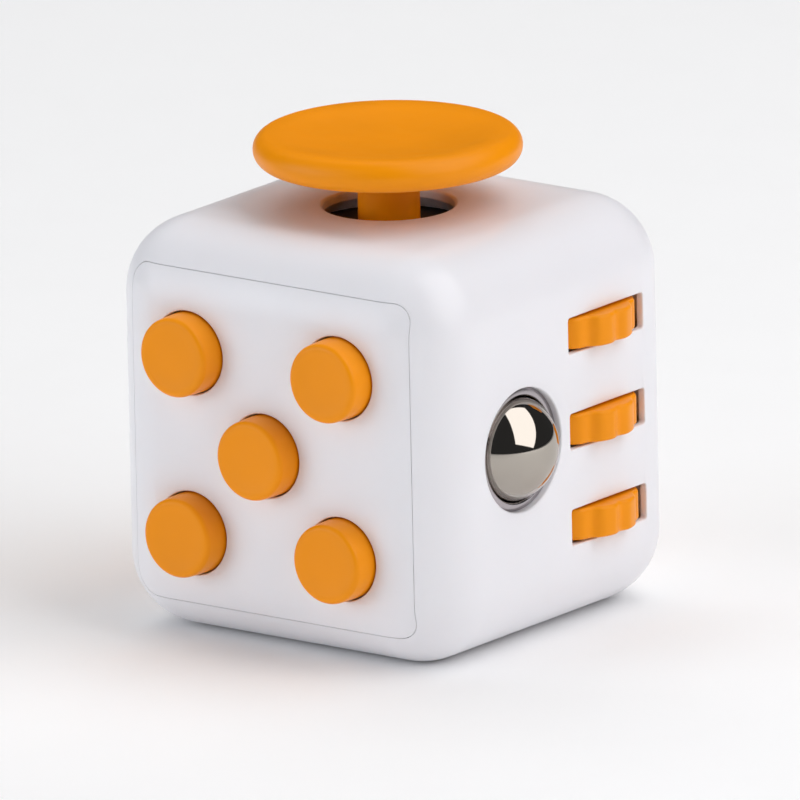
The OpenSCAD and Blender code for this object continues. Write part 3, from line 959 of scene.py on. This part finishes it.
class Tree:
    """A Geometry Nodes tree with named inputs that ends in Realize Instances and Set Material."""

    def __init__(self, name: str, inputs: dict[str, float | int], finish: Finish) -> None:
        """Opens the tree and its sockets.

        Args:
            name: the tree's name.
            inputs: input name to its value; an int makes an integer socket.
            finish: what Set Material puts on the result.
        """
        self.nodes = bpy.data.node_groups.new(name, "GeometryNodeTree")
        self.finish, self.values = finish, inputs
        for key, value in inputs.items():
            kind = "NodeSocketInt" if isinstance(value, int) else "NodeSocketFloat"
            self.nodes.interface.new_socket(key, in_out="INPUT", socket_type=kind)
        self.nodes.interface.new_socket("Geometry", in_out="OUTPUT", socket_type="NodeSocketGeometry")
        self.into = add(self.nodes, "NodeGroupInput").outputs

    def close(self, geometry: Socket) -> None:
        """Ends the tree.

        Args:
            geometry: what the tree has made.
        """
        real = add(self.nodes, "GeometryNodeRealizeInstances", {}, {"Geometry": geometry})
        painted = add(self.nodes, "GeometryNodeSetMaterial", {}, {
            "Geometry": real.outputs[0], "Material": self.finish.material()})
        add(self.nodes, "NodeGroupOutput", {}, {"Geometry": painted.outputs[0]})

    def bake(self, name: str, place: Matrix) -> Object:
        """Runs the tree and keeps the result as a plain mesh.

        Args:
            name: the object's name.
            place: placement of the result, in metres.

        Returns:
            The object, at the origin with its place in its mesh.
        """
        holder = bpy.data.objects.new(name, bpy.data.meshes.new(name))
        bpy.context.scene.collection.objects.link(holder)
        step = holder.modifiers.new("build", "NODES")
        step.node_group = self.nodes
        for item in self.nodes.interface.items_tree:
            if item.in_out == "INPUT" and item.name in self.values:
                step[item.identifier] = self.values[item.name]
        made = bpy.data.meshes.new_from_object(holder.evaluated_get(bpy.context.evaluated_depsgraph_get()))
        holder.modifiers.clear()
        bm = bmesh.new()
        bm.from_mesh(made)
        bmesh.ops.remove_doubles(bm, verts=bm.verts, dist=1e-8)
        bmesh.ops.transform(bm, matrix=place, verts=bm.verts)
        bmesh.ops.recalc_face_normals(bm, faces=bm.faces)
        bm.to_mesh(made)
        bm.free()
        holder.data = made
        return holder


def wheel_tree(tip_r: float, thick: float, bore: float, teeth: int) -> Tree:
    """A scroll wheel: a ring of round-bottomed notches, rounded at both faces.

    The section is a strip of rows wrapped round the axle. Rows 0 to 6 cross the top face,
    rows 6 to 26 go over the rim, rows 26 to 31 cross the bottom face, and row 32 falls on
    row 0, which closes the bore. The radius of the rim follows the notch rule.

    Args:
        tip_r: tip radius in metres.
        thick: thickness in metres.
        bore: bore radius in metres.
        teeth: number of teeth.

    Returns:
        The tree.
    """
    t = Tree("notched_wheel", {"Tip radius": tip_r, "Thickness": thick, "Bore radius": bore,
                               "Notch depth": 0.32 * MM, "Edge round": 0.28 * MM, "Teeth": teeth}, ORANGE_ABS)
    last, crest, shoulder, flat, turns, quarter = 32.0, 16.0, 10.0, 5.0, 360, math.pi / 2
    grid = add(t.nodes, "GeometryNodeMeshGrid", {}, {
        "Size X": 1.0, "Size Y": 1.0, "Vertices X": turns + 1, "Vertices Y": int(last) + 1})
    place = add(t.nodes, "GeometryNodeInputPosition").outputs[0]
    spot = add(t.nodes, "ShaderNodeSeparateXYZ", {}, {0: place}).outputs
    known = {"x": spot["X"], "y": spot["Y"], **{key: t.into[key] for key in t.values}}
    steps = (
        # How far round the wheel, and how far out the rim is there.
        ("share", "ADD", "x", 0.5),
        ("around", "MULTIPLY", "share", 2 * math.pi),
        ("tooth", "MULTIPLY", "around", "Teeth"),
        ("wave", "COSINE", "tooth"),
        ("double", "ADD", "wave", 1.0),
        ("single", "MULTIPLY", "double", 0.5),
        ("positive", "MAXIMUM", "single", 1e-5),
        ("notch", "POWER", "positive", 2.2),
        ("dip", "MULTIPLY", "notch", "Notch depth"),
        ("outer", "SUBTRACT", "Tip radius", "dip"),
        ("reach", "SUBTRACT", "outer", "Edge round"),
        # The row of the section, counted from the crest of the rim.
        ("along", "ADD", "y", 0.5),
        ("row", "MULTIPLY", "along", last),
        ("whole", "ROUND", "row"),
        ("index", "MODULO", "whole", last),
        ("above", "SUBTRACT", crest, "index"),
        # The rim's rounding, from the top face's edge to the bottom face's.
        ("turn", "MULTIPLY", "above", quarter / shoulder),
        ("under", "MAXIMUM", "turn", -quarter),
        ("angle", "MINIMUM", "under", quarter),
        ("cos", "COSINE", "angle"),
        ("out", "MULTIPLY", "Edge round", "cos"),
        ("rim", "ADD", "reach", "out"),
        ("sin", "SINE", "angle"),
        ("up", "MULTIPLY", "Edge round", "sin"),
        ("half", "MULTIPLY", "Thickness", 0.5),
        ("lift", "SUBTRACT", "half", "Edge round"),
        ("nudged", "ADD", "above", 0.01),
        ("side", "SIGN", "nudged"),
        ("level", "MULTIPLY", "lift", "side"),
        ("height", "ADD", "level", "up"),
        # The faces: how far in from the rim's edge towards the bore.
        ("rows out", "ABSOLUTE", "above"),
        ("past", "SUBTRACT", "rows out", shoulder),
        ("in", "MAXIMUM", "past", 0.0),
        ("part", "MULTIPLY", "in", 1 / flat),
        ("face", "MINIMUM", "part", 1.0),
        ("rest", "SUBTRACT", 1.0, "face"),
        ("from rim", "MULTIPLY", "rim", "rest"),
        ("from bore", "MULTIPLY", "Bore radius", "face"),
        ("radius", "ADD", "from rim", "from bore"),
        ("cos around", "COSINE", "around"),
        ("sin around", "SINE", "around"),
        ("X", "MULTIPLY", "radius", "cos around"),
        ("Y", "MULTIPLY", "radius", "sin around"),
    )
    for name, operation, *values in steps:
        links = {i: known.get(value, value) for i, value in enumerate(values)}
        known[name] = add(t.nodes, "ShaderNodeMath", {"operation": operation}, links).outputs[0]
    where = add(t.nodes, "ShaderNodeCombineXYZ", {}, {"X": known["X"], "Y": known["Y"], "Z": known["height"]})
    bent = add(t.nodes, "GeometryNodeSetPosition", {}, {
        "Geometry": grid.outputs["Mesh"], "Position": where.outputs[0]})
    t.close(bent.outputs[0])
    return t


def coil_tree(radius: float, wire: float, height: float, turns: float) -> Tree:
    """A closed helical spring along Z, its wire swept round a spiral.

    Args:
        radius: mean radius in metres.
        wire: wire radius in metres.
        height: free height in metres.
        turns: number of turns.

    Returns:
        The tree.
    """
    t = Tree("helical_spring", {
        "Mean radius": radius, "Wire radius": wire, "Height": height, "Turns": turns}, BRIGHT_STEEL)
    spiral = add(t.nodes, "GeometryNodeCurveSpiral", {}, {
        "Resolution": 28, "Rotations": t.into["Turns"], "Start Radius": t.into["Mean radius"],
        "End Radius": t.into["Mean radius"], "Height": t.into["Height"]})
    section = add(t.nodes, "GeometryNodeCurvePrimitiveCircle", {}, {
        "Resolution": 10, "Radius": t.into["Wire radius"]})
    swept = add(t.nodes, "GeometryNodeCurveToMesh", {}, {
        "Curve": spiral.outputs[0], "Profile Curve": section.outputs[0], "Fill Caps": True})
    t.close(swept.outputs[0])
    return t


@dataclass
class ScrollWheels(Assembly):
    """Three notched wheels on one axle."""

    tip_r: float = 5.8
    bore: float = 1.03
    teeth: int = 12
    axle: Point = (12.1, 6.0)

    def build(self) -> None:
        """Makes a wheel for each solid."""
        for name in ("wheel_top", "wheel_middle", "wheel_bottom"):
            at, low, high = middle(name), corner(name, 0), corner(name, 1)
            tree = wheel_tree(self.tip_r * MM, (high.z - low.z) * MM, self.bore * MM, self.teeth)
            wheel = tree.bake(name, Matrix.Translation(Vector((*self.axle, at.z)) * MM))
            self.finish_piece(wheel, name + "_disc", ORANGE_ABS, name, [name], 38.0)


@dataclass
class Ball(Assembly):
    """The steel ball, its ring and the spring that pushes it out."""

    ball_r: float = 4.4
    ring_r: float = 4.93
    coil_r: float = 2.3
    wire_r: float = 0.22
    turns: float = 3.5

    def build(self) -> None:
        """Makes the ball, the ring and the return spring."""
        at = middle("steel_ball")
        ball = object_from("ball", lathe(globe(self.ball_r, 64), facing((1, 0, 0), at)))
        self.finish_piece(ball, "bearing_ball", LAPPED_STEEL, "ball", ["steel_ball"], 60.0)
        self.ring(at)
        low, high = corner("ball_return_spring", 0), corner("ball_return_spring", 1)
        wire = self.wire_r * MM
        foot = Vector((low.x, at.y, at.z)) * MM + Vector((END_ROOM / 2 * wire, 0, 0))
        tree = coil_tree(self.coil_r * MM, wire, (high.x - low.x) * MM - END_ROOM * wire, self.turns)
        coil = tree.bake("ball_spring", facing((1, 0, 0), foot))
        self.finish_piece(coil, "ball_spring", BRIGHT_STEEL, "housing", ["ball_return_spring"], 60.0)
        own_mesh(coil)

    def ring(self, at: Vector) -> None:
        """The ring that keeps the ball in its socket: a round rim and a lip rolled in to the ball.

        Args:
            at: the ball's middle.
        """
        r = self.ring_r
        back = [(4.5, -2.3), (5.3, -2.3), (5.3, -1.82), (r, -1.82)]
        rim = arc((r - 0.16, -0.62), 0.16, 0, 90, 4)
        lip = [(4.62, -0.42), *arc((4.43, -0.58), 0.18, 80, 190, 8), (4.5, -1.2)]
        ring = object_from("ring", lathe([*back, *rim, *lip], facing((1, 0, 0), (HALF, at.y, at.z))))
        self.finish_piece(ring, "ball_socket_ring", TURNED_STEEL, "housing", ["ball_retaining_ring"], 40.0)


@dataclass
class Rocker(Assembly):
    """The flip switch on the back."""

    half_w: float = 4.15
    tilt: float = 9.0
    edge: float = 0.35
    pin_r: float = 0.8
    hub_r: float = 1.7
    plunger_r: float = 1.03
    crown_half: float = 7.2
    crown_h: float = 2.94
    crown_soft: float = 0.6
    grips: tuple[float, ...] = (4.6, 5.5, 6.4)
    grip_h: float = 0.14
    grip_half: float = 0.32
    coil_r: float = 0.75
    wire_r: float = 0.13
    coil_h: float = 1.4
    turns: float = 4.0

    def build(self) -> None:
        """Makes the rocker with rounded edges and three grip ridges at each end."""
        place = Matrix.Translation(middle("rocker_pin")) @ Matrix.Rotation(math.radians(self.tilt), 4, "X")
        across, inwards = place @ facing((1, 0, 0), (0, 0, 0)), place @ facing((0, -1, 0), (0, 0, 0))
        side = self.outline()
        left = [(x - self.half_w, inset) for x, inset in arc((self.edge, self.edge), self.edge, 180, 270, 4)]
        right = [(-x, inset) for x, inset in reversed(left)]
        rings = [[(x, y, z) for y, z in shrink(side, inset)] for x, inset in left + right]
        rocker = object_from("rocker", loft(rings, place))
        stem = [(0, 0.4), (self.hub_r, 0.4), (self.hub_r, 3.5), (self.hub_r - 0.1, 3.6), (0, 3.6)]
        hub = bar(self.hub_r, -self.half_w, self.half_w)
        carve(rocker, [lathe(stem, inwards, 48), lathe(hub, across, 48)], Cut.ADD)
        pin_hole, plunger_hole = bar(self.pin_r, -10, 10), bar(self.plunger_r, 1.2, 6)
        carve(rocker, [lathe(pin_hole, across, 48), lathe(plunger_hole, inwards, 48)], Cut.REMOVE)
        self.finish_piece(rocker, "rocker_cap", ORANGE_ABS, "rocker", ["rocker_switch"], 35.0)
        self.spring(place)

    def outline(self, steps: int = 96) -> list[Point]:
        """Side view of the rocker: a shallow V on top with grip ridges near both ends.

        Args:
            steps: segments along the top.

        Returns:
            (out, up) points.
        """
        rise = math.tan(math.radians(self.tilt))
        crown = []
        for i in range(steps + 1):
            z = self.crown_half * (2 * i / steps - 1)
            off = min(abs(abs(z) - at) for at in self.grips)
            grip = self.grip_h * math.cos(min(off / self.grip_half, 1) * math.pi / 2)
            crown.append((self.crown_h + math.sqrt(z * z + self.crown_soft) * rise + grip, z))
        end = [(0.95, 7.9), (2.2, 7.85), (3.6, 7.55), (4.0, 7.42)]
        return [(y, -z) for y, z in end] + crown + end[::-1]

    def spring(self, place: Matrix) -> None:
        """The coil that pushes the plunger.

        Args:
            place: the rocker's placement.
        """
        wire = self.wire_r * MM
        seat = place @ Vector((0, -1.2, 0))
        down = place.to_3x3() @ Vector((0, -1, 0))
        tree = coil_tree(self.coil_r * MM, wire, self.coil_h * MM - END_ROOM * wire, self.turns)
        coil = tree.bake("plunger_coil", facing(down, seat * MM + down * END_ROOM / 2 * wire))
        self.finish_piece(coil, "plunger_coil", BRIGHT_STEEL, "rocker", ["plunger_spring"], 60.0)


def shrink(outline: Sequence[Point], inset: float) -> list[Point]:
    """Moves a closed outline inwards by inset along its own normals.

    Args:
        outline: the points.
        inset: distance to move.

    Returns:
        As many points.
    """
    after = [*outline[1:], outline[0]]
    area = sum(a[0] * b[1] - b[0] * a[1] for a, b in zip(outline, after))
    turn = inset if area > 0 else -inset
    moved = []
    for i, (u, v) in enumerate(outline):
        run = (Vector(after[i]) - Vector(outline[i - 1])).normalized()
        moved.append((u - turn * run.y, v + turn * run.x))
    return moved


@dataclass
class Dial(Assembly):
    """The spinning dial on the left face."""

    radius: float = 8.6
    recess: float = 0.8
    hub_r: float = 2.45
    rim_r: float = 0.5
    ribs: int = 24
    groove_r: float = 0.42
    dimple_r: float = 2.47
    dimple_up: float = 5.4
    dimple_out: float = 1.35

    def build(self) -> None:
        """Makes the dial with a ribbed rim and a finger dimple."""
        place = facing((-1, 0, 0), (self.recess - HALF, 0, MID_Z))
        top = -corner("dial", 0).x - HALF + self.recess
        dial = object_from("dial", lathe(self.profile(top), place, 192))
        tools = []
        for i in range(self.ribs):
            spoke = Matrix.Rotation(2 * math.pi * i / self.ribs, 4, "Z")
            rim = Matrix.Translation((self.radius + 0.18, 0, 0))
            tools.append(lathe(bar(self.groove_r, 0.85, 4), place @ spoke @ rim, 20))
        up = place.inverted() @ Vector((self.recess - HALF, 0, MID_Z + self.dimple_up))
        scoop = place @ Matrix.Translation((up.x, up.y, top + self.dimple_out))
        tools.append(lathe(globe(self.dimple_r, 30), scoop, 64))
        carve(dial, tools, Cut.REMOVE)
        self.finish_piece(dial, "spin_dial", ORANGE_ABS, "dial", ["dial"], 32.0)

    def profile(self, top: float) -> list[Point]:
        """The dial's section: a hub, a rounded rim and a wide shallow dish.

        Args:
            top: height of the middle of its face over the recess.

        Returns:
            Profile points from the back to the face's middle.
        """
        hub = [(0, -2.1), (self.hub_r - 0.1, -2.1), (self.hub_r, -2.0), (self.hub_r, 0.05)]
        rim = [(self.radius - 0.15, 0.05), (self.radius, 0.2),
               *arc((self.radius - self.rim_r, top - self.rim_r), self.rim_r, 0, 90, 8)]
        dish = ((7.7, 0.02), (7.3, 0.16), (6.8, 0.3), (5.5, 0.42), (4.3, 0.4),
                (3.6, 0.26), (3.0, 0.12), (2.0, 0.03), (0, 0))
        return [*hub, *rim, *((r, top - drop) for r, drop in dish)]


@dataclass
class Inner(Assembly):
    """The solids that stay."""

    def build(self) -> None:
        """Paints every solid that is still shown with its slot's finish."""
        slots = {s["node"]: s["material_slot"] for s in frame["record"]["subparts"]}
        for name, solid in frame["nodes"].items():
            if solid.hide_render:
                continue
            finish = FINISHES[slots[name]]
            if not solid.material_slots:
                solid.data.materials.append(None)
            for socket in solid.material_slots:
                socket.material = finish.material()
            LOG.info("%s keeps its solid, in %s", name, finish.name)


@dataclass
class Domes(Assembly):
    """The switch domes under the buttons and the ball: thin sprung caps, built at rest and fixed to the
    housing.
    """

    switch: Point = (2.6, 0.88)
    ball_switch: Point = (1.55, 0.9)
    rubber_t: float = 0.3
    steel_t: float = 0.12

    def build(self) -> None:
        """Makes a dome for each switch."""
        for button, node in SWITCHES.items():
            finish = SILICONE if node.startswith("rubber") else BRIGHT_STEEL
            thick = self.rubber_t if finish is SILICONE else self.steel_t
            at, high = middle(node), corner(node, 1)
            seat = (at.x, high.y, at.z)
            dome = object_from(node, lathe(self.profile(*self.switch, thick), facing((0, -1, 0), seat), 64))
            self.finish_piece(dome, node + "_cap", finish, "housing", [node], 60.0)
            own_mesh(dome)
        at, low = middle("ball_snap_dome"), corner("ball_snap_dome", 0)
        seat = (low.x, at.y, at.z)
        cap = lathe(self.profile(*self.ball_switch, self.steel_t), facing((1, 0, 0), seat), 64)
        dome = object_from("ball_dome", cap)
        self.finish_piece(dome, "ball_dome", BRIGHT_STEEL, "housing", ["ball_snap_dome"], 60.0)
        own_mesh(dome)

    def profile(self, radius: float, rise: float, thick: float) -> list[Point]:
        """Section of a thin spherical cap.

        Args:
            radius: radius of the cap's foot.
            rise: the cap's height.
            thick: the sheet's thickness.

        Returns:
            Profile points, outside first.
        """
        globe_r = (radius**2 + rise**2) / (2 * rise)
        spread = math.degrees(math.asin(radius / globe_r))
        centre = (0.0, rise - globe_r)
        outer = arc(centre, globe_r, 90 - spread, 90, 12)
        inner = arc(centre, globe_r - thick, 90, 90 - spread, 12)
        return [(max(r, 0.0), max(h, 0.0)) for r, h in outer + inner]


@dataclass(frozen=True)
class SoftBox:
    """A rectangular studio light. Lengths in metres, power in watts."""

    name: str
    toward: tuple[float, float, float]
    distance: float
    size: Point
    power: float
    lean: float = 0.0
    aim: tuple[float, float, float] = (0.0, 0.0, MID_Z * MM)
    tint: str = "FFFFFF"
    mirrored: bool = True


BOXES = (
    SoftBox("key_box", (0.685, 0.147, 0.713), 0.55, (0.50, 0.88), 3.15, lean=-31.0, tint="FFFEFF"),
    SoftBox("fill_box", (-0.35, -0.85, 0.45), 0.8, (0.8, 0.8), 1.6, tint="FAFCFF"),
    SoftBox("low_fill_box", (-0.62, -0.78, 0.12), 0.8, (0.6, 0.5), 2.1, tint="F6FAFF"),
    SoftBox("top_box", (-0.5, 0.35, 0.9), 0.9, (0.9, 0.9), 4.0, mirrored=False),
)


@dataclass
class Studio:
    """Floor, light and camera. Angles in degrees, the camera's distance and the floor in metres."""

    azimuth: float = 37.15
    elevation: float = 14.96
    roll: float = -1.219
    distance: float = 2.951
    view_width: float = 62.7451
    aim_right: float = 0.525
    aim_up: float = 0.518
    sensor: float = 36.0
    floor_half: float = 6.0
    room_colour: str = "EDEFF5"
    room_glow: float = 0.05
    backdrop_glow: float = 1.0

    def build(self) -> None:
        """Sets up the studio."""
        self.floor()
        self.lights()
        self.camera()

    def floor(self) -> None:
        """A wide pale floor."""
        bm = bmesh.new()
        bmesh.ops.create_grid(bm, x_segments=4, y_segments=4, size=self.floor_half / MM)
        floor = object_from("floor", bm)
        floor.data.materials.append(PALE_FLOOR.material())

    def softbox(self, box: SoftBox) -> None:
        """Hangs a rectangular light that looks at its aim.

        Args:
            box: what and where it is.
        """
        data = bpy.data.lights.new(box.name, "AREA")
        data.shape, data.size, data.size_y = "RECTANGLE", *box.size
        data.energy, data.color = box.power, linear(box.tint)[:3]
        lamp = bpy.data.objects.new(box.name, data)
        toward = Vector(box.toward).normalized()
        place = Matrix.Translation(toward * box.distance + Vector(box.aim))
        turn = Matrix.Rotation(math.radians(box.lean), 4, "Z")
        lamp.matrix_world = place @ toward.to_track_quat("Z", "Y").to_matrix().to_4x4() @ turn
        lamp.visible_glossy = box.mirrored
        bpy.context.scene.collection.objects.link(lamp)

    def lights(self) -> None:
        """One big leaning key box, softer boxes round the rest, and a nearly dark room.

        The camera sees a pale backdrop, while gloss and shade see the dark room.
        """
        for box in BOXES:
            self.softbox(box)
        bpy.context.scene.view_settings.view_transform = "Standard"
        world = bpy.data.worlds.new("room")
        world.use_nodes = True
        tree = world.node_tree
        tree.nodes.clear()
        colour = linear(self.room_colour)
        seen = add(tree, "ShaderNodeLightPath").outputs["Is Camera Ray"]
        dark = add(tree, "ShaderNodeBackground", {}, {"Color": colour, "Strength": self.room_glow})
        pale = add(tree, "ShaderNodeBackground", {}, {"Color": colour, "Strength": self.backdrop_glow})
        room = add(tree, "ShaderNodeMixShader", {}, {0: seen, 1: dark.outputs[0], 2: pale.outputs[0]})
        add(tree, "ShaderNodeOutputWorld", {}, {"Surface": room.outputs[0]})
        bpy.context.scene.world = world

    def camera(self) -> None:
        """A long lens that sees view_width across at the object."""
        a, e, roll = (math.radians(v) for v in (self.azimuth, self.elevation, self.roll))
        back = Vector((math.sin(a) * math.cos(e), -math.cos(a) * math.cos(e), math.sin(e)))
        level = Vector((math.cos(a), math.sin(a), 0))
        upright = back.cross(level)
        right = level * math.cos(roll) + upright * math.sin(roll)
        up = upright * math.cos(roll) - level * math.sin(roll)
        aim = Vector((0, 0, MID_Z * MM)) + right * self.aim_right * MM + up * self.aim_up * MM
        data = bpy.data.cameras.new("camera")
        data.sensor_width = self.sensor
        data.lens = self.distance / (self.view_width * MM) * self.sensor
        data.clip_end = 50.0
        camera = bpy.data.objects.new("camera", data)
        place = Matrix((right, up, back)).transposed().to_4x4()
        place.translation = aim + back * self.distance
        camera.matrix_world = place
        bpy.context.scene.collection.objects.link(camera)
        bpy.context.scene.camera = camera


def main() -> None:
    """Builds every sub-assembly, then the studio."""
    logging.basicConfig(level=logging.INFO, format="%(name)s: %(message)s")
    parts: list[Assembly] = [
        Housing(), ClickButtons(), ThumbDisc(), ScrollWheels(), Ball(), Rocker(), Dial(), Domes(), Inner()]
    for part in parts:
        part.build()
        LOG.info("%s done: %d pieces", type(part).__name__, len(part.pieces))
    Studio().build()


if __name__ == "__main__":
    main()
